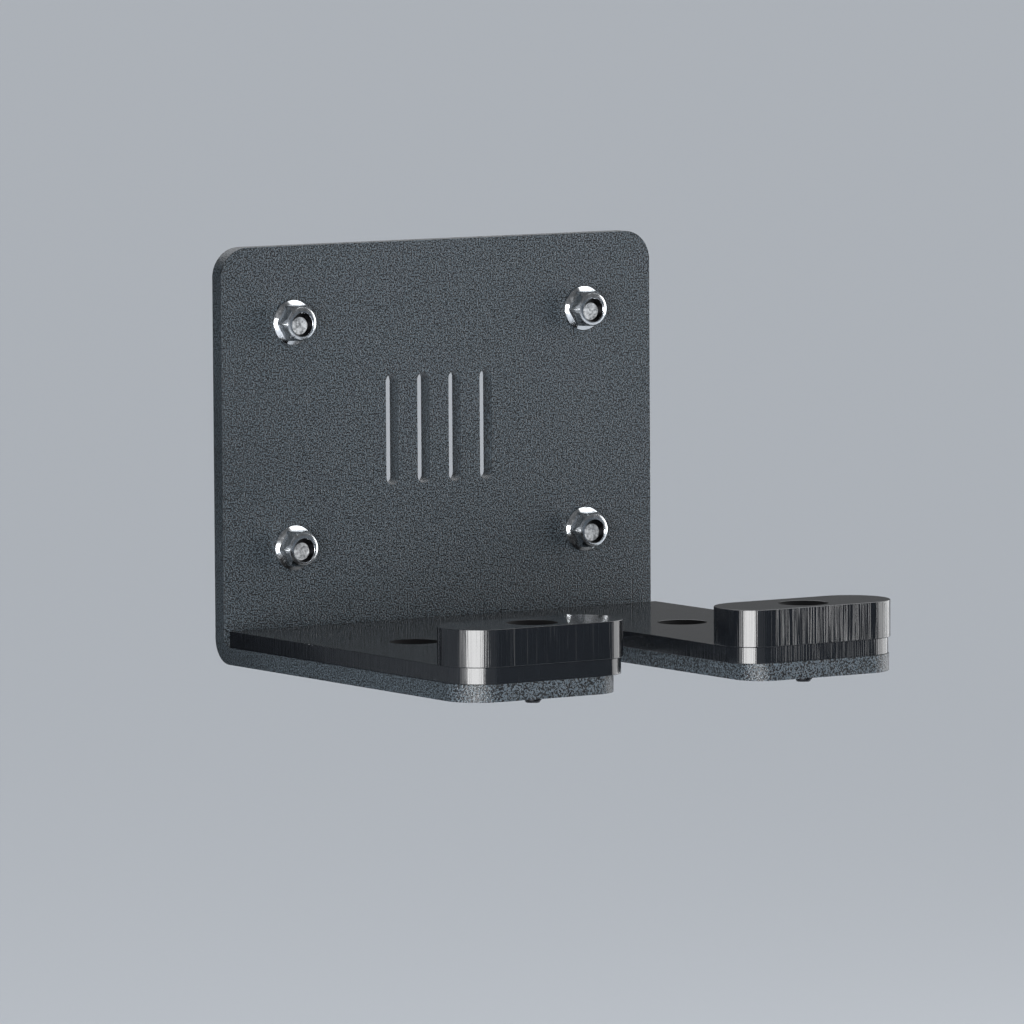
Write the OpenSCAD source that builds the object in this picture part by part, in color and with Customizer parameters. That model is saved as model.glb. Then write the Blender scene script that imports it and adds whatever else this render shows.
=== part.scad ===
// Vertical hanger that stores one barbell on end, flat against a wall.
// X runs along the wall, +Y points into the wall and +Z points up.
// The origin is the middle of the four wall screws, on the back face of the plate.

/* [Steel bracket] */
// Width of the wall plate and of the shelf
bracket_w = 137; // [125:1:180]
// Height of the wall plate, from the underside of the shelf
plate_h = 111; // [105:1:160]
// Distance from the wall to the tips of the prongs
shelf_reach = 125; // [118:1:160]
// Thickness of the bent steel plate
steel_t = 4.6; // [3:0.1:8]
// Inside radius of the bend
bend_r = 2.2; // [1:0.1:5]
// Corner radius at the top of the wall plate
plate_corner_r = 8; // [3:0.5:15]
// Corner radius on the outer side of each prong
prong_outer_r = 10.5; // [4:0.5:12]
// Corner radius at the mouth of the slot
prong_inner_r = 8; // [3:0.5:10]

/* [Bar slot] */
// Width of the slot in the steel
steel_slot_w = 40; // [36:0.5:48]
// How far the liner reaches into the slot on each side, to keep the bar off the steel
liner_lip = 2.5; // [1:0.1:4]
// Distance from the wall to the middle of the round end of the slot
slot_centre = 66; // [60:1:75]

/* [Plate slots] */
// Number of upright slots cut through the plate
plate_slot_count = 4; // [2:1:5]
// Width of one upright slot
plate_slot_w = 4; // [2.5:0.5:6]
// Height of one upright slot, over its round ends
plate_slot_h = 30; // [20:1:36]
// Distance between neighbouring upright slots
plate_slot_pitch = 10; // [8:0.5:12]

/* [Liner and blocks] */
// Thickness of the liner sheet
liner_t = 4.4; // [4:0.1:8]
// How far the liner stays back from the edges of the steel
liner_inset = 0.2; // [0:0.1:1]
// Gap between the liner and the start of the bend
liner_rear_gap = 0.3; // [0.1:0.1:2]
// Thickness of the retaining blocks
block_t = 9.8; // [6:0.2:16]
// Size of a block from front to back
block_depth = 22; // [19:0.5:26]
// How far the blocks stand past the edges of what they stand on
block_proud = 0.4; // [0:0.1:1]
// Corner radius at the back of a block
block_back_r = 11; // [4:0.5:12]

/* [Flat head screws] */
// Thread diameter of the screws that hold the liner and the blocks
screw_d = 5; // [4:0.5:6.5]
// Diameter of the flat head
head_d = 10; // [9:0.2:12.6]
// Height of the straight rim of the head
head_rim = 0.4; // [0.2:0.1:0.6]
// Mouth diameter of the countersinks
sink_d = 13.3; // [13:0.1:14.5]
// Hexagon socket in the head, across its flats
socket_af = 3; // [2.5:0.5:4.5]
// Depth of the socket
socket_depth = 2; // [1.5:0.1:2.6]
// How far the ends of the screws stand out under the steel
tip_stand = 1.9; // [0.8:0.1:3]
// Distance from the sides of the shelf to the screws
screw_side_margin = 26; // [23:0.5:29]
// Distance from the tips of the prongs to the front screws
screw_tip_margin = 9.5; // [8:0.5:11]
// Distance from the front screws to the rear screws
screw_pitch = 57; // [50:1:64]

/* [Wall screws] */
// Distance from the side edges of the plate to the wall screws
wall_side_margin = 22; // [18:0.5:28]
// Distance from the top edge of the plate to the upper wall screws
wall_top_margin = 20.5; // [16:0.5:24]
// Height of the lower wall screws above the underside of the shelf
low_screw_h = 30; // [26:1:34]
// Thread diameter of a wall screw
wall_screw_d = 6.3; // [5:0.1:7]
// Diameter of the plain neck of a wall screw, inside the plate
wall_neck_d = 5.2; // [3.5:0.1:6.5]
// Length of a wall screw under its flange
wall_screw_len = 38; // [30:1:60]
// Length of the pointed end
wall_tip_len = 7; // [4:0.5:10]
// Hexagon head, across its flats
hex_af = 9.3; // [8.5:0.1:10.5]
// Height of the head, with its flange
hex_h = 5.4; // [4:0.1:6]
// Diameter of the flange under the head
flange_d = 12.1; // [11.6:0.1:14]
// Thickness of the rim of the flange
flange_rim = 0.7; // [0.4:0.1:1]

/* [Fits] */
// Clearance round a screw in a threaded hole
thread_gap = 0.05; // [0.02:0.01:0.1]
// Clearance round a screw in a plain hole
plain_gap = 0.3; // [0.2:0.05:0.5]
// Gap between the cone of a head and its countersink
sink_gap = 0.05; // [0.02:0.01:0.1]

/* [Hidden] */
$fn = 96;

// Spacing of the wall screws, along the wall and up the wall
wall_pitch_x = bracket_w - 2 * wall_side_margin;
wall_pitch_z = plate_h - wall_top_margin - low_screw_h;

// Heights of the layers, from the bottom up
shelf_z = -(low_screw_h + wall_pitch_z / 2);
liner_z = shelf_z + steel_t;
block_z = liner_z + liner_t;
top_z = block_z + block_t;

// Half widths, and distances from the wall
half_w = bracket_w / 2;
bend_outer_r = bend_r + steel_t;
liner_half_w = half_w - liner_inset;
liner_front = shelf_reach - liner_inset;
liner_rear = bend_outer_r + liner_rear_gap;
liner_slot_w = steel_slot_w - 2 * liner_lip;
block_inner = liner_slot_w / 2 - block_proud;
block_outer = half_w + block_proud;
block_front = shelf_reach + block_proud;
block_front_r = prong_outer_r + block_proud;
block_mouth_r = prong_inner_r + block_proud;
block_back_fit_r = min(block_back_r, block_depth - block_front_r);

// Places of the flat head screws: one through each block, and one behind it
screw_x = half_w - screw_side_margin;
block_screw_y = screw_tip_margin - shelf_reach;
liner_screw_y = block_screw_y + screw_pitch;

// A head sinks until its cone meets the countersink, or until it meets the steel
head_cone = (head_d - screw_d) / 2;
end_chamfer = 0.15 * screw_d;
function head_drop(sheet_t) =
    min((sink_d - head_d) / 2 - head_rim + sink_gap, sheet_t - head_rim - head_cone);

// Sheet metal colours and plastics
powder_black = [0.20, 0.21, 0.22];
gloss_black = [0.07, 0.07, 0.08];
black_oxide = [0.10, 0.10, 0.11];
zinc = [0.80, 0.81, 0.82];

// Outlines

// What is cut away outside a rounded corner; its tip is at the origin
module corner_waste(r) {
    difference() {
        translate([-1, -1]) square(r + 1);
        translate([r, r]) circle(r);
    }
}

// Plan of a slot with a round end at the back and an open mouth at the front
module slot_plan(slot_w, front) {
    translate([0, -slot_centre]) circle(d = slot_w);
    translate([-slot_w / 2, -front - 1]) square([slot_w, front + 1 - slot_centre]);
}

// Plan of a plate with two prongs
module fork_plan(half, front, rear, slot_w, outer_r) {
    difference() {
        translate([-half, -front]) square([2 * half, front - rear]);
        slot_plan(slot_w, front);
        for (side = [0, 1]) mirror([side, 0]) {
            translate([half, -front]) mirror([1, 0]) corner_waste(outer_r);
            translate([slot_w / 2, -front]) corner_waste(prong_inner_r);
        }
    }
}

// Section of the bent plate, with the wall face at x = 0 and the underside at y = 0
module bend_section() {
    translate([-steel_t, bend_outer_r]) square([steel_t, plate_h - bend_outer_r]);
    translate([-shelf_reach, 0]) square([shelf_reach - bend_outer_r, steel_t]);
    intersection() {
        translate([-bend_outer_r, bend_outer_r]) difference() {
            circle(bend_outer_r);
            circle(bend_r);
        }
        translate([-bend_outer_r, 0]) square(bend_outer_r);
    }
}

// Upright slots in the middle of the plate, centred between the wall screws
module plate_slots() {
    reach = (plate_slot_h - plate_slot_w) / 2;
    for (i = [0 : plate_slot_count - 1]) {
        translate([(i - (plate_slot_count - 1) / 2) * plate_slot_pitch, 0]) {
            translate([-plate_slot_w / 2, -reach]) square([plate_slot_w, 2 * reach]);
            translate([0, reach]) circle(d = plate_slot_w);
            translate([0, -reach]) circle(d = plate_slot_w);
        }
    }
}

// Front view of the wall plate, seen from the room
module plate_face() {
    difference() {
        translate([-half_w, shelf_z - 1]) square([bracket_w, plate_h + 1]);
        for (side = [0, 1]) mirror([side, 0])
            translate([half_w, shelf_z + plate_h]) mirror([1, 0]) mirror([0, 1]) corner_waste(plate_corner_r);
        plate_slots();
    }
}

// Plan of the right-hand retaining block
module block_plan() {
    depth_y = -block_front + block_depth;
    difference() {
        translate([block_inner, -block_front]) square([block_outer - block_inner, block_depth]);
        translate([block_inner, -block_front]) corner_waste(block_mouth_r);
        translate([block_outer, -block_front]) mirror([1, 0]) corner_waste(block_front_r);
        translate([block_inner, depth_y]) mirror([0, 1]) corner_waste(block_back_fit_r);
        translate([block_outer, depth_y]) mirror([1, 0]) mirror([0, 1]) corner_waste(block_back_fit_r);
    }
}

// Holes

// Countersunk clearance hole, with its mouth at z = 0
module sunk_hole(depth) {
    hole_r = screw_d / 2 + plain_gap;
    translate([0, 0, -depth - 1]) cylinder(h = depth + 2, r = hole_r);
    translate([0, 0, hole_r - sink_d / 2]) cylinder(h = sink_d / 2 - hole_r, r1 = hole_r, r2 = sink_d / 2);
    cylinder(h = 1, d = sink_d);
}

// Runs its children at the places of the four flat head screws
module at_flat_screws() {
    for (side = [-1, 1], y = [block_screw_y, liner_screw_y])
        translate([side * screw_x, y, 0]) children();
}

// Runs its children at the four wall screws, turned so that +Z points into the room
module at_wall_screws() {
    for (sx = [-1, 1], sz = [-1, 1])
        translate([sx * wall_pitch_x / 2, 0, sz * wall_pitch_z / 2]) rotate([90, 0, 0]) children();
}

// Pieces

// One plate of steel: cut to shape, then bent up against the wall
module bracket() {
    color(powder_black) difference() {
        intersection() {
            translate([0, 0, shelf_z]) rotate([90, 0, 90])
                linear_extrude(bracket_w, center = true) bend_section();
            translate([0, 0, shelf_z - 1]) linear_extrude(plate_h + 2)
                fork_plan(half_w, shelf_reach, 0, steel_slot_w, prong_outer_r);
            translate([0, 1, 0]) rotate([90, 0, 0]) linear_extrude(shelf_reach + 2) plate_face();
        }
        at_wall_screws() translate([0, 0, -1]) cylinder(h = steel_t + 2, r = wall_screw_d / 2 + plain_gap);
        at_flat_screws() translate([0, 0, shelf_z - 1]) cylinder(h = steel_t + 2, r = screw_d / 2 + thread_gap);
    }
}

// Hard plastic sheet that the collar of the bar stands on
module liner() {
    color(gloss_black) difference() {
        translate([0, 0, liner_z]) linear_extrude(liner_t)
            fork_plan(liner_half_w, liner_front, liner_rear, liner_slot_w, prong_outer_r - liner_inset);
        for (side = [-1, 1]) {
            translate([side * screw_x, liner_screw_y, block_z]) sunk_hole(liner_t);
            translate([side * screw_x, block_screw_y, liner_z - 1])
                cylinder(h = liner_t + 2, r = screw_d / 2 + plain_gap);
        }
    }
}

// Blocks that stop the collar from sliding off the prongs
module right_block() {
    color(gloss_black) difference() {
        translate([0, 0, block_z]) linear_extrude(block_t) block_plan();
        translate([screw_x, block_screw_y, top_z]) sunk_hole(block_t);
    }
}

module left_block() {
    mirror([1, 0, 0]) right_block();
}

// Flat head screw, sunk into a sheet on the steel; z = 0 is the top of the sheet
module flat_screw(sheet_t, stack) {
    drop = head_drop(sheet_t);
    len = stack + tip_stand - drop;
    color(black_oxide) translate([0, 0, -drop]) difference() {
        rotate_extrude() polygon([
            [0, 0], [head_d / 2, 0], [head_d / 2, -head_rim],
            [screw_d / 2, -head_rim - head_cone], [screw_d / 2, end_chamfer - len],
            [screw_d / 2 - end_chamfer, -len], [0, -len]
        ]);
        translate([0, 0, -socket_depth])
            cylinder(h = socket_depth + 1, d = socket_af / cos(30), $fn = 6);
    }
}

module block_screw(side) {
    translate([side * screw_x, block_screw_y, top_z]) flat_screw(block_t + liner_t, top_z - shelf_z);
}

module liner_screw(side) {
    translate([side * screw_x, liner_screw_y, block_z]) flat_screw(liner_t, block_z - shelf_z);
}

// Hexagon head on a flange, with a shallow dish in its top; z = 0 is under the flange
module hex_head() {
    corner_r = hex_af / 2 / cos(30);
    face_r = 0.46 * hex_af;
    dish_r = 0.27 * hex_af;
    shoulder_r = hex_af / 2 + 0.35 * (flange_d - hex_af) / 2;
    flange_h = flange_rim + 0.5 * (flange_d / 2 - shoulder_r);
    bevel = (corner_r - face_r) * tan(57);
    difference() {
        union() {
            cylinder(h = flange_rim, d = flange_d);
            translate([0, 0, flange_rim])
                cylinder(h = flange_h - flange_rim, r1 = flange_d / 2, r2 = shoulder_r);
            intersection() {
                cylinder(h = hex_h, r = corner_r, $fn = 6);
                union() {
                    cylinder(h = hex_h - bevel, r = corner_r + 1);
                    translate([0, 0, hex_h - bevel]) cylinder(h = bevel, r1 = corner_r, r2 = face_r);
                }
            }
        }
        translate([0, 0, hex_h - 0.8]) cylinder(h = 1.6, r1 = 0.95 * dish_r, r2 = 1.05 * dish_r);
    }
}

// Wood screw, drawn as far in as it goes: its flange bears on the front of the plate.
// Its neck passes through the plate, and its thread starts at the wall.
module wall_screw(sx, sz) {
    neck_r = wall_neck_d / 2;
    thread_r = wall_screw_d / 2;
    point_r = 0.1 * wall_screw_d;
    color(zinc) translate([sx * wall_pitch_x / 2, -steel_t, sz * wall_pitch_z / 2]) rotate([90, 0, 0]) {
        hex_head();
        rotate_extrude() polygon([
            [0, 0], [neck_r, 0], [neck_r, -steel_t], [thread_r, -steel_t],
            [thread_r, wall_tip_len - wall_screw_len], [point_r, -wall_screw_len], [0, -wall_screw_len]
        ]);
    }
}

bracket();
liner();
left_block();
right_block();
block_screw(-1);  // left_block_screw
block_screw(1);  // right_block_screw
liner_screw(-1);  // left_liner_screw
liner_screw(1);  // right_liner_screw
wall_screw(-1, 1);  // upper_left_wall_screw
wall_screw(1, 1);  // upper_right_wall_screw
wall_screw(-1, -1);  // lower_left_wall_screw
wall_screw(1, -1);  // lower_right_wall_screw
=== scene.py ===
# %% [markdown]
# # A vertical storage hanger for a gym wall
#
# This bracket is screwed to a wall and holds a long, heavy thing on end. Its shelf has an
# open slot, and two raised blocks on the prongs of the shelf keep what hangs there from
# sliding off. The hanger is one bent steel plate, a plastic liner, two plastic blocks
# and eight screws, and nothing on it moves.
#
# The lesson dresses an engineering model that is loaded as a frame. Each piece is
# modelled again with bmesh operators, at the same size and in the same place, so that
# it gets the rounded edges, threads and finishes that light needs.

import math

import bmesh
import bpy
from mathutils import Matrix, Vector


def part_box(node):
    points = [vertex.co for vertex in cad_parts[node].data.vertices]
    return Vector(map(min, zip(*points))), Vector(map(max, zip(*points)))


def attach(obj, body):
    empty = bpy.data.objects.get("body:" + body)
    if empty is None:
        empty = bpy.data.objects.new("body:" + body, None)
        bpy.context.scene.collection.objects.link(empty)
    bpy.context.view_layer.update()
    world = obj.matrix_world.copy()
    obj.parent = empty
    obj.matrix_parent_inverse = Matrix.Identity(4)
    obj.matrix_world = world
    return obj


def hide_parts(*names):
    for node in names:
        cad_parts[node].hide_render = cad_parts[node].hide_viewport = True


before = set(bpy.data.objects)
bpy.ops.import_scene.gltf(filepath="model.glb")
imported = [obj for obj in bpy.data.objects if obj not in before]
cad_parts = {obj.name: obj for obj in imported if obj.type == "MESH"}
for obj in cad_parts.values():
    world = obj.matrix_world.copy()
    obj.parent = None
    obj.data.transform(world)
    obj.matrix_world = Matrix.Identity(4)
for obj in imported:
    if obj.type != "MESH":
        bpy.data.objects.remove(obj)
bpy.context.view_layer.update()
for node in sorted(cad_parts):
    low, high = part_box(node)
    print(node, [round(1000 * v, 2) for v in low], [round(1000 * v, 2) for v in high])

# %% [markdown]
# ## Sizes
#
# X runs along the wall, +Y points into the wall and +Z points up. The origin is the
# middle of the four wall screws, on the back of the plate. All modelling is done in
# millimetres, which keeps the numbers readable, and a piece is scaled to metres when
# it is finished. The outer sizes come from the frame, and the rest are repeated here.
# A hole and the mouth of a countersink are given by their radius.

# %% Sizes in millimetres
MM = 0.001
bracket_low, bracket_high = (Vector(corner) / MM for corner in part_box("bracket"))
half_width, reach = bracket_high.x, -bracket_low.y
shelf_bottom, plate_top = bracket_low.z, bracket_high.z

steel = 4.6
bend_inner = 2.2
bend_outer = bend_inner + steel
liner_low, liner_high = (Vector(corner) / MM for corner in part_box("liner"))
block_low, block_high = (Vector(corner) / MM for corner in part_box("right_block"))

plate_corner_radius = 8.0
prong_outer_radius = 10.5
prong_inner_radius = 8.0
liner_inset = 0.2
block_proud = 0.4

slot_middle = -66.0
steel_slot_radius = 20.0
liner_slot_radius = 17.5
plate_slot_pitch = 10.0
plate_slot_half_width = 2
plate_slot_half_height = 15

screw_x = half_width - 26.0
front_screw_y = 9.5 - reach
rear_screw_y = front_screw_y + 57.0
screw_places = [(x, y) for x in (-screw_x, screw_x) for y in (front_screw_y, rear_screw_y)]
tapped_hole, plain_hole, sink_mouth = 2.55, 2.8, 6.65

wall_screw_x = half_width - 22.0
wall_screw_z = plate_top - 20.5
wall_screw_hole = 3.45
for part, level in (("shelf", shelf_bottom), ("liner", liner_low.z), ("blocks", block_low.z)):
    print(part, "from", round(level, 2), "mm up")

# %% [markdown]
# ## Camera
#
# The camera stands to the left of the hanger and a little above it, 2.4 m away, with a
# long lens, so that the edges stay nearly parallel.

# %% Camera
yaw, pitch, roll = (math.radians(a) for a in (32.872, 5.151, -0.354))
forward = Vector((
    math.sin(yaw) * math.cos(pitch), math.cos(yaw) * math.cos(pitch), -math.sin(pitch)
))
level = Vector((math.cos(yaw), -math.sin(yaw), 0))
right = math.cos(roll) * level + math.sin(roll) * level.cross(forward)
up = right.cross(forward)
stand = Vector((-1.28685, -2.03176, 0.25339 + shelf_bottom * MM))

camera = bpy.data.objects.new("camera", bpy.data.cameras.new("camera"))
camera.matrix_world = Matrix.Translation(stand) @ Matrix((right, up, -forward)).transposed().to_4x4()
camera.data.sensor_width = 36
camera.data.lens = 313.07
camera.data.clip_start, camera.data.clip_end = 0.1, 200
bpy.context.scene.collection.objects.link(camera)
bpy.context.scene.camera = camera
print("camera at", [round(v, 3) for v in camera.matrix_world.translation])

# %% [markdown]
# ## Cutting sheet
#
# The steel, the liner and the blocks are all cut from flat sheet, so they are drawn
# flat first. An outline is a list of corners, and each corner gets its radius from a
# bevel of that one point. Holes are circles inside it. Filling all outlines at once
# leaves the holes open, and extruding the fill gives the sheet its thickness.

# %% Draw an outline and fill it
def draw_outline(bm, corners):
    """Draws a closed outline from (x, y, corner radius) points, as edges without a face."""
    points = [bm.verts.new((x, y, 0)) for x, y, _ in corners]
    bm.faces.new(points)
    for point, (_, _, radius) in zip(points, corners):
        if radius:
            bmesh.ops.bevel(
                bm, geom=[point], offset=radius, offset_type="OFFSET", affect="VERTICES",
                segments=16, profile=0.5, material=-1,
            )
    bmesh.ops.remove_doubles(bm, verts=bm.verts, dist=1e-4)
    bmesh.ops.delete(bm, geom=bm.faces[:], context="FACES_ONLY")


def draw_hole(bm, x, y, radius):
    """Draws a round hole as a circle of edges."""
    bmesh.ops.create_circle(bm, segments=48, radius=radius, matrix=Matrix.Translation((x, y, 0)))


def join_flats(bm):
    """Joins faces that lie in one plane, and drops points on straight edges."""
    bmesh.ops.dissolve_limit(
        bm, angle_limit=math.radians(0.2), verts=bm.verts, edges=bm.edges
    )


def fill_outlines(bm):
    """Fills the outer outline with faces and leaves the outlines inside it open."""
    bmesh.ops.triangle_fill(
        bm, use_beauty=True, use_dissolve=False, edges=bm.edges[:], normal=(0, 0, 1)
    )
    join_flats(bm)
    return bm.faces[:]


# %% Give a sheet its thickness
def raise_faces(bm, faces, height):
    """Extrudes faces straight up and returns the raised ones."""
    region = {*faces}
    for face in faces:
        region.update(face.edges, face.verts)
    raised = bmesh.ops.extrude_face_region(bm, geom=list(region))["geom"]
    points = [g for g in raised if isinstance(g, bmesh.types.BMVert)]
    bmesh.ops.translate(bm, verts=points, vec=(0, 0, height))
    return [g for g in raised if isinstance(g, bmesh.types.BMFace)]


def open_sink(bm, faces, x, y):
    """Widens a screw hole in the given faces to the mouth of its countersink."""
    rim = {
        point for face in faces for point in face.verts
        if math.dist(point.co.xy, (x, y)) < plain_hole + 0.1
    }
    wider = sink_mouth / plain_hole
    bmesh.ops.scale(
        bm, verts=list(rim), vec=(wider, wider, 1), space=Matrix.Translation((-x, -y, 0))
    )


def cut_sheet(bm, thickness, sinks):
    """Makes a sheet of the drawn outlines, with a 90 degree countersink at each given place."""
    depth = sink_mouth - plain_hole
    top = raise_faces(bm, fill_outlines(bm), thickness - depth)
    top = raise_faces(bm, top, depth)
    for x, y in sinks:
        open_sink(bm, top, x, y)
    bmesh.ops.recalc_face_normals(bm, faces=bm.faces)
    join_flats(bm)


# %% Take off the sharpness
SHARP = math.radians(35)


def soften(bm, width, segments):
    """Rounds every hard edge a little, as a deburring tool or a coating does."""
    chosen = [
        edge for edge in bm.edges
        if len(edge.link_faces) == 2 and edge.calc_face_angle(0) > SHARP
    ]
    bmesh.ops.bevel(
        bm, geom=chosen, offset=width, offset_type="OFFSET", affect="EDGES",
        segments=segments, profile=0.5, material=-1, clamp_overlap=True,
    )


# %% [markdown]
# ## From a shape to a finished piece
#
# A finished shape is scaled to metres and linked with no turn or shift of its own. It
# rides on the only body, hides the node of the engineering model that it stands for,
# and takes its finishes from the materials it is given. The print tells whether the
# skin is closed: every edge of a closed skin has exactly two faces.

# %% Make a piece
def make_piece(name, bm, stands_for, materials):
    """Turns a shape in millimetres into a piece that stands for a CAD node."""
    bmesh.ops.recalc_face_normals(bm, faces=bm.faces)
    bmesh.ops.scale(bm, vec=(MM, MM, MM), verts=bm.verts)
    for face in bm.faces:
        face.smooth = True
    unclosed = sum(len(edge.link_faces) != 2 for edge in bm.edges)
    triangles = sum(len(face.verts) - 2 for face in bm.faces)
    mesh = bpy.data.meshes.new(name)
    bm.to_mesh(mesh)
    bm.free()
    mesh.set_sharp_from_angle(angle=SHARP)
    for material in materials:
        mesh.materials.append(material)
    piece = bpy.data.objects.new(name, mesh)
    bpy.context.scene.collection.objects.link(piece)
    even = piece.modifiers.new("even shading", "WEIGHTED_NORMAL")
    even.keep_sharp = True
    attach(piece, "root")
    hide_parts(stands_for)
    print(name, triangles, "triangles,", unclosed, "unclosed edges")


# %% [markdown]
# ## Colours and nodes
#
# Colours are written as sRGB hex values, as a paint chart gives them, and one function
# turns them to the linear values that shaders use. One small function adds a node with
# its settings, its links and, on a colour ramp, its stops. Another links finished
# patterns to the shader.

# %% Colours and nodes
def colour(code):
    """Linear RGBA from an sRGB hex value such as #8a8f94."""
    parts = [int(code[i : i + 2], 16) / 255 for i in (1, 3, 5)]
    return (*[p / 12.92 if p <= 0.04045 else ((p + 0.055) / 1.055) ** 2.4 for p in parts], 1)


def add_node(tree, kind, inputs=None, stops=(), **settings):
    """Adds a node, sets its properties and the stops of its ramp, and fills or links its sockets."""
    node = tree.nodes.new(kind)
    for name, value in settings.items():
        setattr(node, name, value)
    for i, (position, shade) in enumerate(stops):
        ramp = node.color_ramp.elements
        stop = ramp[i] if i < len(ramp) else ramp.new(position)
        stop.position, stop.color = position, shade
    for name, value in (inputs or {}).items():
        if isinstance(value, bpy.types.NodeSocket):
            tree.links.new(value, node.inputs[name])
        else:
            node.inputs[name].default_value = value
    return node


def start_material(name, **sockets):
    """A new material: its tree, its shader with plain values set, and its object coordinates."""
    material = bpy.data.materials.new(name)
    material.use_nodes = True
    tree = material.node_tree
    shader = tree.nodes["Principled BSDF"]
    for socket, value in sockets.items():
        shader.inputs[socket.replace("_", " ")].default_value = value
    place = add_node(tree, "ShaderNodeTexCoord").outputs["Object"]
    print("material", name)
    return material, tree, shader, place


def link_patterns(tree, shader, **patterns):
    """Links the output of each pattern to the shader's socket of that name."""
    for socket, output in patterns.items():
        tree.links.new(output, shader.inputs[socket.replace("_", " ")])


# %% [markdown]
# ## Finish: fine-textured powder coat
#
# The steel is sprayed with dry black powder and baked. A texture agent makes the film
# shrink into grains about half a millimetre apart. To the eye it is a dark grey that
# sparkles: each grain catches the lamps on one side and is darker on the other. Noise
# at the size of a grain drives a bump, and the same noise sets the colour, so the
# hollows of the grains are painted darker: painted shade that deepens the relief. A
# second, wider noise lets the gloss drift a little over the plate. The same agent dulls
# the resin, so the specular level lies below the usual half.

# %% Powder coat
GRAIN = 0.42 * MM

powder_coat, tree, shader, place = start_material(
    "fine_textured_powder_coat", Specular_IOR_Level=0.33
)
grains = add_node(tree, "ShaderNodeTexNoise", {
    "Vector": place, "Scale": 1 / GRAIN, "Detail": 1.5, "Roughness": 0.5,
}).outputs["Fac"]
film = add_node(tree, "ShaderNodeTexNoise", {
    "Vector": place, "Scale": 1 / (70 * GRAIN), "Detail": 2.0,
}).outputs["Fac"]
# Painted shade: the same noise as the bump sets the colour, darker in the hollows.
tint = add_node(
    tree, "ShaderNodeValToRGB", {"Fac": grains},
    stops=[(0.44, colour("#0b0c0e")), (0.58, colour("#3e464c"))],
).outputs["Color"]
gloss = add_node(tree, "ShaderNodeMapRange", {
    "Value": film, "From Min": 0.3, "From Max": 0.7, "To Min": 0.27, "To Max": 0.33,
}).outputs["Result"]
relief = add_node(tree, "ShaderNodeBump", {
    "Height": grains, "Strength": 1.0, "Distance": 0.24 * MM,
}).outputs["Normal"]
link_patterns(tree, shader, Base_Color=tint, Roughness=gloss, Normal=relief)
print("powder coat grains of", GRAIN / MM, "mm")

# %% [markdown]
# ## Finish: gloss sheet plastic
#
# The liner and the blocks are cut from black sheet plastic, such as ABS. Its faces keep
# the gloss of the rolls that pressed the sheet, and show the room like a dark mirror,
# with faint rub marks. The marks are a noise in the roughness alone, because they have
# no depth to speak of.

# %% Gloss face
def gloss_plastic(name, shade):
    """The rolled face of black sheet plastic."""
    material, tree, shader, place = start_material(name, Base_Color=colour(shade), IOR=1.49)
    rubs = add_node(tree, "ShaderNodeTexNoise", {
        "Vector": place, "Scale": 1 / (7 * MM), "Detail": 5.0, "Roughness": 0.65,
    }).outputs["Fac"]
    gloss = add_node(tree, "ShaderNodeMapRange", {
        "Value": rubs, "From Min": 0.35, "From Max": 0.75, "To Min": 0.06, "To Max": 0.16,
    }).outputs["Result"]
    link_patterns(tree, shader, Roughness=gloss)
    return material


# %% [markdown]
# ## Finish: cut plastic edges
#
# The edges of the sheet keep the marks of the cutter: fine lines that run straight up,
# because the cutter stood upright and moved along the outline. So the edge pattern is a
# noise that changes quickly along X and Y and slowly along Z. The right-hand block was
# cut fast, and its lines are deep and broken; the liner under it has medium ones; and
# the edges left of the slot are nearly smooth. A ramp along X sets the depth. The holes
# are matt: a drill leaves shallow rings round the hole, which is the same noise turned
# over, quick along Z and slow along X and Y. Their walls and countersinks are also
# painted darker and reflect less than the sheet: painted shade for their depth.

# %% Cut edge
CUTTER_LINE = 0.40 * MM
SMOOTH_TO, ROUGH_FROM = 25.6 * MM, 27.2 * MM


def cut_edge(name, shade, shallow, deep):
    """A machined edge with upright lines, shallow to the left of the slot and deep to the right."""
    material, tree, shader, place = start_material(name, Base_Color=colour(shade), IOR=1.49)
    stretched = add_node(tree, "ShaderNodeMapping", {
        "Vector": place, "Scale": (1.0, 1.0, 0.008),
    }).outputs["Vector"]
    lines = add_node(tree, "ShaderNodeTexNoise", {
        "Vector": stretched, "Scale": 1 / CUTTER_LINE, "Detail": 1.5, "Roughness": 0.6,
    }).outputs["Fac"]
    scores = add_node(tree, "ShaderNodeMapRange", {
        "Value": lines, "From Min": 0.46, "From Max": 0.57,
    }, interpolation_type="SMOOTHSTEP").outputs["Result"]
    across = add_node(tree, "ShaderNodeSeparateXYZ", {"Vector": place}).outputs["X"]
    depth = add_node(tree, "ShaderNodeMapRange", {
        "Value": across, "From Min": SMOOTH_TO, "From Max": ROUGH_FROM,
        "To Min": shallow * MM, "To Max": deep * MM,
    }).outputs["Result"]
    relief = add_node(tree, "ShaderNodeBump", {
        "Height": scores, "Strength": 1.0, "Distance": depth,
    }).outputs["Normal"]
    gloss = add_node(tree, "ShaderNodeMapRange", {
        "Value": lines, "From Min": 0.3, "From Max": 0.7, "To Min": 0.07, "To Max": 0.14,
    }).outputs["Result"]
    link_patterns(tree, shader, Roughness=gloss, Normal=relief)
    return material


# %% Drilled holes
DRILL_RING = 0.30 * MM

# Painted shade: a darker colour and a low IOR keep the holes dim, as if deep in shadow.
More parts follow.
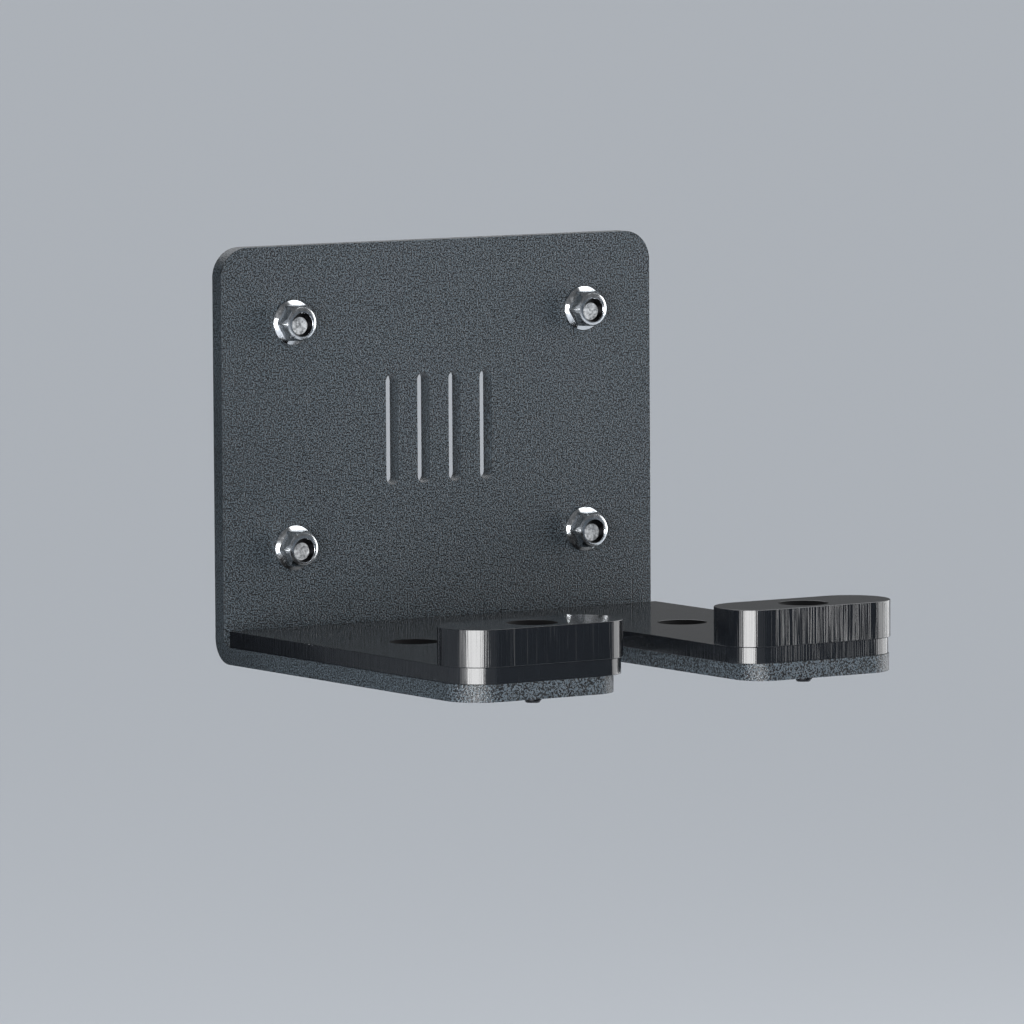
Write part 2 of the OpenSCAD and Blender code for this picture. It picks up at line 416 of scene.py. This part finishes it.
hole_walls_with_painted_shade, tree, shader, place = start_material(
    "painted_shade_in_drilled_holes", Base_Color=colour("#060607"), IOR=1.2
)
flattened = add_node(tree, "ShaderNodeMapping", {
    "Vector": place, "Scale": (0.05, 0.05, 1.0),
}).outputs["Vector"]
rings = add_node(tree, "ShaderNodeTexNoise", {
    "Vector": flattened, "Scale": 1 / DRILL_RING, "Detail": 1.5,
}).outputs["Fac"]
gloss = add_node(tree, "ShaderNodeMapRange", {
    "Value": rings, "From Min": 0.3, "From Max": 0.7, "To Min": 0.74, "To Max": 0.86,
}).outputs["Result"]
relief = add_node(tree, "ShaderNodeBump", {
    "Height": rings, "Strength": 1.0, "Distance": 0.01 * MM,
}).outputs["Normal"]
link_patterns(tree, shader, Roughness=gloss, Normal=relief)

# %% Plastic finishes
liner_face = gloss_plastic("gloss_black_sheet_plastic", "#0d0e10")
liner_edge = cut_edge("cut_edge_of_the_sheet", "#101215", 0.008, 0.022)
block_face = gloss_plastic("gloss_black_block_plastic", "#0d0e10")
block_edge = cut_edge("machined_edge_of_the_block", "#0d0f12", 0.010, 0.048)

# %% [markdown]
# ## Finish: metals
#
# The flat head screws are hardened steel, blackened in a hot salt bath and oiled. The
# layer is far thinner than paint, so it still reads as metal: a very dark grey with a
# soft, oily shine. The wall screws are plated with bright zinc, which follows the
# forged head, so the flange and the flats shine like a slightly soft mirror. The bottom
# of the dish keeps the rough skin that the forging punch left. Its steep wall gets a
# near-black metal: painted shade for the shadow that fills the deep dish. One noise in
# colour, gloss and relief gives all four, with patches of its own size in millimetres for each.

# %% Metals
def metal(name, dull, bright, patch, low, high, depth):
    """Bare or plated metal whose colour, gloss and skin wander with one noise."""
    material, tree, shader, place = start_material(name, Metallic=1.0)
    skin = add_node(tree, "ShaderNodeTexNoise", {
        "Vector": place, "Scale": 1 / (patch * MM), "Detail": 3.0, "Roughness": 0.6,
    }).outputs["Fac"]
    gloss = add_node(tree, "ShaderNodeMapRange", {
        "Value": skin, "From Min": 0.3, "From Max": 0.7, "To Min": low, "To Max": high,
    }).outputs["Result"]
    tint = add_node(
        tree, "ShaderNodeValToRGB", {"Fac": skin},
        stops=[(0.38, colour(dull)), (0.62, colour(bright))],
    ).outputs["Color"]
    relief = add_node(tree, "ShaderNodeBump", {
        "Height": skin, "Strength": 1.0, "Distance": depth * MM,
    }).outputs["Normal"]
    link_patterns(tree, shader, Base_Color=tint, Roughness=gloss, Normal=relief)
    return material


black_oxide = metal("black_oxide_on_steel", "#252628", "#303133", 2.5, 0.32, 0.48, 0.01)
bright_zinc = metal("bright_zinc_plating", "#c3c6c9", "#cfd2d5", 1.4, 0.12, 0.24, 0.02)
forged_zinc = metal("zinc_on_the_forged_dish", "#808284", "#c6c8ca", 0.75, 0.40, 0.60, 0.20)
# Painted shade: the dish wall is given a near-black metal for the shadow in the deep dish.
dish_wall_painted_shade = metal("painted_shade_on_the_dish_wall", "#0e0e0f", "#1c1c1e", 1.1, 0.35, 0.50, 0.05)

# %% [markdown]
# ## The bent plate
#
# The steel is one flat blank that a laser cuts out and a press brake bends up. Here the
# wall plate and the shelf are cut as two flat sheets that meet the bend, one is stood
# upright, and the end face between them is spun a quarter turn to make the bend itself.
# That is easier than bending a cut blank, because the holes stay true to their size.
# The plate has four upright slots with round ends, which are outlines of their own.

# %% The wall plate, drawn flat
bend_height = shelf_bottom + bend_outer
plate = bmesh.new()
draw_outline(plate, [
    (-half_width, bend_height, 0), (half_width, bend_height, 0),
    (half_width, plate_top, plate_corner_radius), (-half_width, plate_top, plate_corner_radius),
])
across, along = plate_slot_half_width, plate_slot_half_height
for i in range(4):
    x = plate_slot_pitch * (i - 1.5)
    draw_outline(plate, [
        (x - across, -along, across), (x + across, -along, across),
        (x + across, along, across), (x - across, along, across),
    ])
for x in (-wall_screw_x, wall_screw_x):
    for z in (-wall_screw_z, wall_screw_z):
        draw_hole(plate, x, z, wall_screw_hole)
raise_faces(plate, fill_outlines(plate), steel)
bmesh.ops.rotate(plate, verts=plate.verts, matrix=Matrix.Rotation(math.pi / 2, 3, "X"))
print("wall plate", len(plate.faces), "faces")

# %% The bend
lower_end = min(plate.faces, key=lambda face: face.calc_center_median().z)
bent = bmesh.ops.spin(
    plate, geom=[lower_end, *lower_end.edges, *lower_end.verts],
    cent=(0, -bend_outer, bend_height), axis=(-1, 0, 0), angle=math.pi / 2, steps=12,
)
bend_end = [g for g in bent["geom_last"] if isinstance(g, bmesh.types.BMFace)]
bmesh.ops.delete(plate, geom=bend_end, context="FACES_ONLY")
print("with its bend", len(plate.faces), "faces")

# %% [markdown]
# The fork-shaped outline of the shelf is used twice, once for the steel and once for
# the liner. The two corners at the bottom of the slot get half the width of the slot as
# their radius, and that makes one true half circle.

# %% The shelf
def draw_fork(bm, half, front, rear, slot_radius, outer_radius):
    """Draws the plan of a plate with two prongs, from the front edge to the rear edge."""
    slot_end = slot_middle + slot_radius
    draw_outline(bm, [
        (-half, rear, 0), (-half, front, outer_radius),
        (-slot_radius, front, prong_inner_radius), (-slot_radius, slot_end, slot_radius),
        (slot_radius, slot_end, slot_radius), (slot_radius, front, prong_inner_radius),
        (half, front, outer_radius), (half, rear, 0),
    ])


shelf = bmesh.new()
draw_fork(shelf, half_width, -reach, -bend_outer, steel_slot_radius, prong_outer_radius)
for x, y in screw_places:
    draw_hole(shelf, x, y, tapped_hole)
raise_faces(shelf, fill_outlines(shelf), steel)
bmesh.ops.translate(shelf, verts=shelf.verts, vec=(0, 0, shelf_bottom))
shelf_end = max(shelf.faces, key=lambda face: face.calc_center_median().y)
bmesh.ops.delete(shelf, geom=[shelf_end], context="FACES_ONLY")
print("shelf", len(shelf.faces), "faces")

# %% [markdown]
# Powder is thick: it builds up to about a tenth of a millimetre and rounds every cut
# edge. A bevel of 0.4 mm stands for the deburred edge under its coat.

# %% Join the halves and finish the plate
mesh = bpy.data.meshes.new("shelf")
shelf.to_mesh(mesh)
shelf.free()
plate.from_mesh(mesh)
bpy.data.meshes.remove(mesh)
bmesh.ops.remove_doubles(plate, verts=plate.verts, dist=1e-3)
bmesh.ops.recalc_face_normals(plate, faces=plate.faces)
soften(plate, 0.4, segments=3)
make_piece("bent_plate", plate, "bracket", [powder_coat])

# %% [markdown]
# ## The liner
#
# A sheet of hard plastic covers the shelf, so that steel never stands on steel. It
# stays 0.2 mm back from the steel's edges and reaches 2.5 mm into the slot on each
# side. Its rear screw holes are countersunk, and its front ones lie under the blocks,
# so they are plain.

# %% Which faces were rolled, cut and drilled
HOLE_REACH = 6.6


def mark_cut_edges(bm):
    """Gives upright faces the second material, and the countersinks and holes the third, whose
    darker colour is painted shade.
    """
    bm.normal_update()
    for face in bm.faces:
        middle = face.calc_center_median().xy
        steepness = abs(face.normal.z)
        if steepness < 0.95 and min(math.dist(middle, place) for place in screw_places) < HOLE_REACH:
            face.material_index = 2
        elif steepness < 0.6:
            face.material_index = 1


# %% Liner
liner = bmesh.new()
draw_fork(
    liner, liner_high.x, liner_low.y, liner_high.y, liner_slot_radius,
    prong_outer_radius - liner_inset,
)
for x, y in screw_places:
    draw_hole(liner, x, y, plain_hole)
cut_sheet(
    liner, liner_high.z - liner_low.z, sinks=[(-screw_x, rear_screw_y), (screw_x, rear_screw_y)]
)
bmesh.ops.translate(liner, verts=liner.verts, vec=(0, 0, liner_low.z))
soften(liner, 0.18, segments=2)
mark_cut_edges(liner)
make_piece(
    "shelf_liner", liner, "liner", [liner_face, liner_edge, hole_walls_with_painted_shade]
)

# %% [markdown]
# ## The retaining blocks
#
# Each block is a thick slab with four rounded corners. The front corners follow the
# prong under them, and the back corners are as round as the depth of the block lets
# them be: a hair under half of it, so that front and back corners never meet. The left
# block is the right one, mirrored, but for one thing: where the cutter stopped on its
# front edge it left a fine upright nick, a tenth of a millimetre deep, which is drawn as
# three points on the outline.

# %% Blocks
back_radius = 10.99
nick_x, nick_half_width, nick_depth = 54.3, 0.18, 0.12


def shape_block(side):
    """The block on one prong: side is 1 on the right and -1 on the left."""
    low, high = block_low, block_high
    corners = [(low.x, low.y, prong_inner_radius + block_proud)]
    if side < 0:
        corners += [
            (nick_x - nick_half_width, low.y, 0), (nick_x, low.y + nick_depth, 0),
            (nick_x + nick_half_width, low.y, 0),
        ]
    corners += [
        (high.x, low.y, prong_outer_radius + block_proud),
        (high.x, high.y, back_radius), (low.x, high.y, back_radius),
    ]
    bm = bmesh.new()
    draw_outline(bm, [(side * x, y, radius) for x, y, radius in corners])
    draw_hole(bm, side * screw_x, front_screw_y, plain_hole)
    cut_sheet(bm, high.z - low.z, sinks=[(side * screw_x, front_screw_y)])
    bmesh.ops.translate(bm, verts=bm.verts, vec=(0, 0, low.z))
    soften(bm, 0.18, segments=2)
    mark_cut_edges(bm)
    return bm


for name, side in (("left_block", -1), ("right_block", 1)):
    make_piece(
        name + "_body", shape_block(side), name,
        [block_face, block_edge, hole_walls_with_painted_shade],
    )

# %% [markdown]
# ## Screws in one skin
#
# A screw here is one closed skin. Its thread is a profile of one pitch that is spun
# with a small rise at each step, so that each turn ends where the next begins. A flat
# cut squares off each end, which leaves a rim of edges. From there the rim is drawn on,
# ring by ring: out to the head, up its side, over its face, and down into its socket or
# dish. A ring may be round, or hexagonal if its radius changes with the angle.

# %% Thread
def wind_thread(bm, radius, root, pitch, low_z, high_z, crest, flank):
    """Winds a thread along Z that is a little longer than the given span.

    The crest and each flank take the given shares of the pitch, and the root has the rest.
    """
    steps = 48
    turns = math.ceil((high_z - low_z) / pitch) + 2
    profile = [
        (root, 0), (radius, flank), (radius, flank + crest), (root, 2 * flank + crest), (root, 1),
    ]
    start = low_z - 1.5 * pitch
    points = [bm.verts.new((r, 0, start + pitch * h)) for r, h in profile]
    lines = [bm.edges.new(pair) for pair in zip(points, points[1:])]
    bmesh.ops.spin(
        bm, geom=points + lines, cent=(0, 0, 0), axis=(0, 0, 1), dvec=(0, 0, pitch / steps),
        angle=math.tau * turns, steps=steps * turns,
    )
    bmesh.ops.remove_doubles(bm, verts=bm.verts, dist=1e-3)


def square_off(bm, height, keep_below):
    """Cuts the skin flat at a height and returns the rim of the cut."""
    cut = bmesh.ops.bisect_plane(
        bm, geom=bm.verts[:] + bm.edges[:] + bm.faces[:], dist=1e-4, plane_co=(0, 0, height),
        plane_no=(0, 0, 1 if keep_below else -1), clear_outer=True,
    )
    return [g for g in cut["geom_cut"] if isinstance(g, bmesh.types.BMEdge)]


# %% Draw a rim on
def draw_on(bm, rim, radius, height):
    """Extends the skin from a rim to a new ring. Radius and height may be functions of the angle."""
    made = bmesh.ops.extrude_edge_only(bm, edges=rim)["geom"]
    ring = {g for g in made if isinstance(g, bmesh.types.BMVert)}
    for point in ring:
        angle = math.atan2(point.co.y, point.co.x)
        r = radius(angle) if callable(radius) else radius
        z = height(angle) if callable(height) else height
        point.co = (r * math.cos(angle), r * math.sin(angle), z)
    return [g for g in made if isinstance(g, bmesh.types.BMEdge) and ring.issuperset(g.verts)]


def hexagon(across_flats):
    """The radius of a hexagon at an angle, with a corner at angle zero."""
    return lambda angle: across_flats / 2 / math.cos(angle % (math.pi / 3) - math.pi / 6)


def points_of(edges):
    """The points at the ends of some edges, each once."""
    return list({point for edge in edges for point in edge.verts})


def close_rim(bm, rim, height):
    """Draws a rim together on the axis, at the given height."""
    ring = draw_on(bm, rim, 0.01, height)
    bmesh.ops.pointmerge(bm, verts=points_of(ring), merge_co=(0, 0, height))


# %% [markdown]
# ## The flat head screws
#
# Four M5 screws hold the plastic to the steel. Each has a flat head with a hexagon
# socket, which sits well down in its countersink. The thread cuts into the steel, and
# its chamfered end stands out under the shelf by about 2 mm. The chamfer is the limit
# that the thread's points are held to near the end, as if a lathe had turned it.

# %% Flat head screw
SHANK, THREAD_ROOT, THREAD_END = 2.5, 2.05, -3.2
END_RADIUS, END_SLOPE = 1.75, 0.78
SOCKET, SOCKET_BOTTOM, SOCKET_POINT = 3.0, -2.0, -2.5


def flat_head_screw(length):
    """An M5 flat head screw along Z, with the top of its head at height zero."""
    bm = bmesh.new()
    wind_thread(bm, SHANK, THREAD_ROOT, 0.8, -length, THREAD_END, crest=0.14, flank=0.36)
    upper = square_off(bm, THREAD_END, keep_below=True)
    for point in bm.verts:
        limit = END_RADIUS + END_SLOPE * max(0.0, point.co.z + length)
        if point.co.xy.length > limit:
            point.co.xy = point.co.xy * (limit / point.co.xy.length)
    lower = square_off(bm, -length, keep_below=False)
    close_rim(bm, lower, -length)

    socket = hexagon(SOCKET)
    for radius, height in (
        (SHANK, -2.95), (4.88, -0.52), (5.0, -0.4), (5.0, -0.12), (4.88, 0.0),
        (lambda angle: socket(angle) + 0.12, 0.0), (socket, -0.12), (socket, SOCKET_BOTTOM),
    ):
        upper = draw_on(bm, upper, radius, height)
    close_rim(bm, upper, SOCKET_POINT)
    return bm


for name, x, y in (
    ("left_block_screw", -screw_x, front_screw_y),
    ("right_block_screw", screw_x, front_screw_y),
    ("left_liner_screw", -screw_x, rear_screw_y),
    ("right_liner_screw", screw_x, rear_screw_y),
):
    low_end, high_end = (corner[2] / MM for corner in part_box(name))
    screw = flat_head_screw(high_end - low_end)
    bmesh.ops.translate(screw, verts=screw.verts, vec=(x, y, high_end))
    make_piece(name + "_body", screw, name, [black_oxide])

# %% [markdown]
# ## The wall screws
#
# Four wood screws hold the plate to the wall. The head is forged: a hexagon on a round
# flange, whose upper corners are cut off by a cone, with a dish in the top. On a
# hexagon that cone leaves the arched chamfers that every bolt head has, and it needs
# no cutting here, because the height of the ring simply follows the cone. Two flats of
# each hexagon lie level.

# %% Heights on the head of a wall screw
HEAD, ACROSS_FLATS, CHAMFER_RADIUS = 5.4, 9.3, 4.23
CHAMFER_SLOPE = math.tan(math.radians(57))
hex_sides = hexagon(ACROSS_FLATS)


def hex_foot(angle):
    """The radius at which the hexagon's sides begin to curve out into the flange."""
    return hex_sides(angle) + 0.15


def flange_top(radius):
    """The height of the top of the flange at a radius: a cone that levels off."""
    return 1.155 - 0.5 * max(0.0, radius - 5.14)


def chamfer_foot(angle):
    """The height at which the chamfer cuts the hexagon's side."""
    return HEAD - (hex_sides(angle) - CHAMFER_RADIUS) * CHAMFER_SLOPE


# %% Wall screw
LENGTH, POINT, CORE, NECK, NECK_END = 38.0, 7.0, 2.2, 2.6, -5.2


def wall_screw():
    """A hexagon head wood screw along Z, with the underside of its flange at height zero.

    It ends in the rim of its face, which the dish goes on from.
    """
    bm = bmesh.new()
    wind_thread(bm, 3.15, CORE, 2.5, -LENGTH, NECK_END, crest=0.06, flank=0.22)
    upper = square_off(bm, NECK_END, keep_below=True)
    for point in bm.verts:
        taper = 0.2 + 0.8 * min(1.0, max(0.0, (point.co.z + LENGTH) / POINT))
        runout = min(1.0, max(0.0, (-4.9 - point.co.z) / 2.0))
        radius = CORE + (point.co.xy.length - CORE) * runout
        point.co.xy = point.co.xy.normalized() * radius * taper
    lower = square_off(bm, -LENGTH, keep_below=False)
    close_rim(bm, lower, -LENGTH)

    for radius, height in (
        (NECK, -4.6), (NECK, 0.0), (5.9, 0.0), (6.05, 0.15), (6.05, 0.58), (5.97, 0.72),
        (hex_foot, lambda angle: flange_top(hex_foot(angle))),
        (hex_sides, lambda angle: flange_top(hex_sides(angle)) + 0.15),
        (hex_sides, chamfer_foot), (4.36, 5.20),
    ):
        upper = draw_on(bm, upper, radius, height)
    corners = [
        edge for edge in bm.edges
        if abs(edge.verts[0].co.z - edge.verts[1].co.z) > 1.5
        and min(point.co.xy.length for point in edge.verts) > 5.3
    ]
    bmesh.ops.bevel(
        bm, geom=corners, offset=0.1, offset_type="OFFSET", affect="EDGES", segments=2,
        profile=0.5, material=-1,
    )
    return bm, upper


# %% [markdown]
# The face of the head is slightly domed. The punch that forms its dish did not hit the
# middle: the mouth of the dish lies a third of a millimetre low, and its floor twice
# that. So each ring of the dome and the dish has a radius, a depth and a shift, and the
# shift is applied once the skin is closed. The floor of the dish has a finish of its
# own, and its wall is painted near black: painted shade.

# %% Dish
DISH_DEPTH = 1.42
pattern, upper = wall_screw()
dish_rings = []
for radius, depth, shift in (
    (4.30, 0.182, 0.0), (4.05, 0.11, -0.09), (3.8, 0.06, -0.18), (3.55, 0.025, -0.27),
    (3.3, 0.005, -0.35), (3.2, 0.10, -0.36), (2.45, 1.28, -0.69), (2.38, 1.4, -0.7),
    (2.34, DISH_DEPTH, -0.7),
):
    upper = draw_on(pattern, upper, radius, HEAD - depth)
    dish_rings.append((points_of(upper), shift))
close_rim(pattern, upper, HEAD - DISH_DEPTH)
for points, shift in dish_rings:
    bmesh.ops.translate(pattern, verts=points, vec=(0, shift, 0))
bmesh.ops.recalc_face_normals(pattern, faces=pattern.faces)
print("wall screw pattern", len(pattern.faces), "faces")

# %% Finishes inside the dish
dish_middle, dish_reach = Vector((0, -0.5)), 2.95
for face in pattern.faces:
    middle = face.calc_center_median()
    in_dish = (middle.xy - dish_middle).length < dish_reach and 2 < middle.z < HEAD - 0.02
    if in_dish:
        # The wall of the dish takes the near-black metal: painted shade.
        face.material_index = 1 if face.normal.z > 0.9 else 2

# %% Place the wall screws
bmesh.ops.rotate(pattern, verts=pattern.verts, matrix=Matrix.Rotation(math.pi / 2, 3, "X"))
for name, x, z in (
    ("upper_left_wall_screw", -wall_screw_x, wall_screw_z),
    ("upper_right_wall_screw", wall_screw_x, wall_screw_z),
    ("lower_left_wall_screw", -wall_screw_x, -wall_screw_z),
    ("lower_right_wall_screw", wall_screw_x, -wall_screw_z),
):
    screw = pattern.copy()
    bmesh.ops.translate(screw, verts=screw.verts, vec=(x, -steel, z))
    make_piece(
        name + "_body", screw, name, [bright_zinc, forged_zinc, dish_wall_painted_shade]
    )
pattern.free()

# %% [markdown]
# ## Floor
#
# The floor is plain pale paper, and it lies some way under the hanger, which hangs on a
# wall in use. It is very wide, so that it also makes the background. From here on,
# lengths are in metres.

# %% Floor
FLOOR_DROP, FLOOR_HALF_WIDTH = 0.35, 80

floor = bpy.data.objects.new("floor", bpy.data.meshes.new("floor"))
bm = bmesh.new()
bmesh.ops.create_grid(bm, x_segments=1, y_segments=1, size=FLOOR_HALF_WIDTH)
bmesh.ops.translate(bm, verts=bm.verts, vec=(0, 0, shelf_bottom * MM - FLOOR_DROP))
bm.to_mesh(floor.data)
bm.free()
bpy.context.scene.collection.objects.link(floor)
floor.data.materials.append(
    start_material("matt_studio_paper", Base_Color=colour("#cbcfd4"), Roughness=0.9)[0]
)

# %% [markdown]
# ## Light
#
# Black gloss shows its lamps more than its colour, so the lamps are placed by what the
# pieces should mirror. The left softbox becomes the bright upright bands on the round
# corners, and a dimmer wing beside it the left corners of the hexagons. The right
# softbox gives the lines on the rough block and the bands at its right-hand corner. The
# front faces should stay dark, so what they mirror is a grey card, low on the right.
# Above the card a small softbox becomes the white crescent on top of each flange. A
# few small cards stand as flags beside and behind the left edge, and keep the sides near
# the wall dim. The gaps between them let the wing show in the corners of the screws. The
# room gives the rest: a soft band of light at the right rear, well above the horizon,
# and little overhead, so that the countersinks look deep.

# %% Lamps
hanger_middle = Vector((0, -0.06, -0.03))


def aim_from(azimuth, elevation, distance):
    """A place round the hanger and the turn to face it. Azimuth 0 is straight out of the wall."""
    turn, lift = math.radians(azimuth), math.radians(elevation)
    aim = Vector((
        math.sin(turn) * math.cos(lift), -math.cos(turn) * math.cos(lift), math.sin(lift)
    ))
    place = Matrix.Translation(hanger_middle + distance * aim)
    return place @ aim.to_track_quat("Z", "Y").to_matrix().to_4x4()


def add_softbox(name, azimuth, elevation, distance, width, height, radiance):
    """Adds a rectangular lamp that faces the hanger."""
    lamp = bpy.data.lights.new(name, "AREA")
    lamp.shape, lamp.size, lamp.size_y = "RECTANGLE", width, height
    lamp.energy = radiance * math.pi * width * height
    box = bpy.data.objects.new(name, lamp)
    box.matrix_world = aim_from(azimuth, elevation, distance)
    box.visible_camera = False
    bpy.context.scene.collection.objects.link(box)
    print(name, width, "by", height, "m,", round(lamp.energy, 1), "W")


add_softbox("left_softbox", -45, 0, 1.5, 1.20, 0.80, 17.0)
add_softbox("left_wing", -78, 0, 1.5, 0.45, 0.50, 2.6)
add_softbox("right_softbox", 82, 4, 1.5, 1.70, 0.80, 3.8)
add_softbox("key_softbox", 44, 39, 0.7, 0.50, 0.20, 2.6)

# %% Cards
def add_card(name, tone, width, height, matrix):
    """Adds a card that only reflections and shadows see."""
    card = bpy.data.objects.new(name, bpy.data.meshes.new(name))
    bm = bmesh.new()
    bmesh.ops.create_grid(bm, x_segments=1, y_segments=1, size=0.5)
    bmesh.ops.scale(bm, verts=bm.verts, vec=(width, height, 1))
    bmesh.ops.transform(bm, verts=bm.verts, matrix=matrix)
    bm.to_mesh(card.data)
    bm.free()
    card.data.materials.append(
        start_material(name + "_paint", Base_Color=colour(tone), Roughness=1.0)[0]
    )
    card.visible_camera = False
    bpy.context.scene.collection.objects.link(card)


add_card("grey_card", "#4e555c", 1.10, 0.86, aim_from(33, -10, 1.4))
add_card(
    "rear_flag", "#232426", 0.09, 0.42,
    Matrix.Translation((-0.122, 0.05, -0.09)) @ Matrix.Rotation(math.pi / 2, 4, "X"),
)
for name, low, high in (
    ("lower_flag", -0.250, -0.044), ("middle_flag", -0.030, 0.015), ("upper_flag", 0.030, 0.180),
):
    add_card(
        name, "#888c90", high - low, 0.12,
        Matrix.Translation((-0.13, 0.0, (low + high) / 2)) @ Matrix.Rotation(math.pi / 2, 4, "Y"),
    )

# %% Room
room = bpy.data.worlds.new("room")
bpy.context.scene.world = room
room.use_nodes = True
tree = room.node_tree
direction = add_node(tree, "ShaderNodeTexCoord").outputs["Generated"]
height = add_node(tree, "ShaderNodeSeparateXYZ", {"Vector": direction}).outputs["Z"]
dark, lit = colour("#000000"), colour("#ffffff")
band = add_node(
    tree, "ShaderNodeValToRGB", {"Fac": height},
    stops=[(0.26, dark), (0.42, lit), (0.80, lit), (0.92, dark)],
).outputs["Color"]
side = add_node(
    tree, "ShaderNodeVectorMath", {0: direction, 1: (0.8, 0.6, 0.0)}, operation="DOT_PRODUCT"
).outputs["Value"]
half = add_node(tree, "ShaderNodeMapRange", {
    "Value": side, "From Min": -0.05, "From Max": 0.45,
}).outputs["Result"]
share = add_node(tree, "ShaderNodeMath", {0: band, 1: half}, operation="MULTIPLY").outputs["Value"]
glow = add_node(tree, "ShaderNodeMapRange", {
    "Value": share, "To Min": 0.14, "To Max": 2.2,
}).outputs["Result"]
background = tree.nodes["Background"]
background.inputs["Color"].default_value = colour("#f8fbff")
tree.links.new(glow, background.inputs["Strength"])
bpy.context.scene.view_settings.view_transform = "Standard"
print("room", len(tree.nodes), "nodes")
